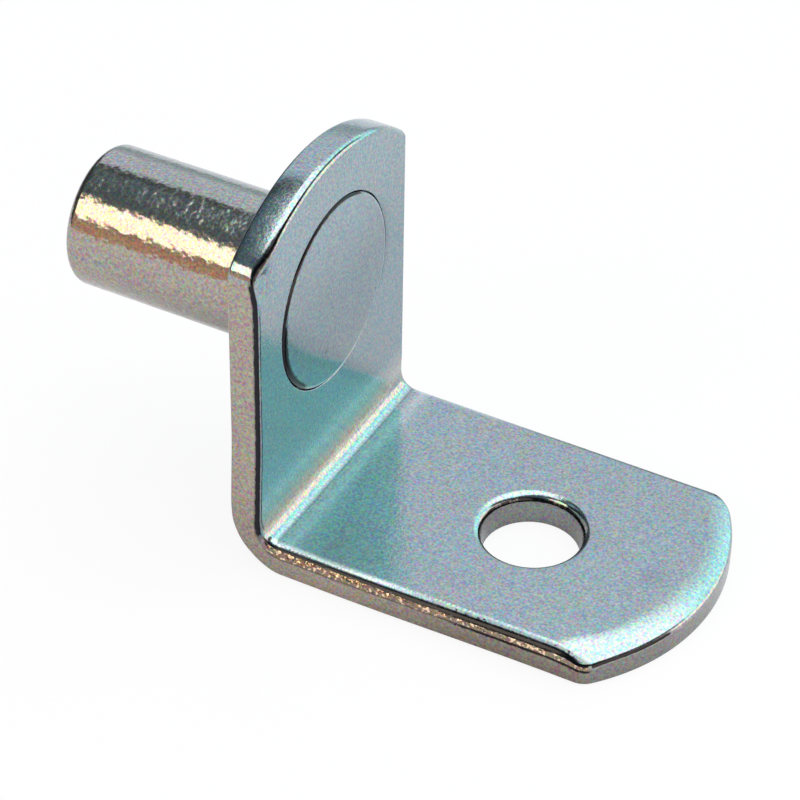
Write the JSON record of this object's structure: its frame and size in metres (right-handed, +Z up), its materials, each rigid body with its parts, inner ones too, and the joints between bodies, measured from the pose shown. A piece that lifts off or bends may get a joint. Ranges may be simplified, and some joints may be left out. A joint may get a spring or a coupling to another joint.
{
  "type": "shelf support pin",
  "caption": "L-shaped plated steel shelf support with a round cabinet pin behind its upright and a screw hole in its leg.",
  "frame": {"origin": "where the pin's axis meets the back of the upright", "axes": "-X along the pin to its free end, +X along the leg, +Y across the strip, +Z up"},
  "size_m": [0.0296, 0.0126, 0.0174],
  "materials": {
    "strip_plating": "gloss",
    "pin_plating": "gloss"
  },
  "bodies": {
    "root": {"bracket": "strip_plating", "pin": "pin_plating"}
  },
  "joints": []
}
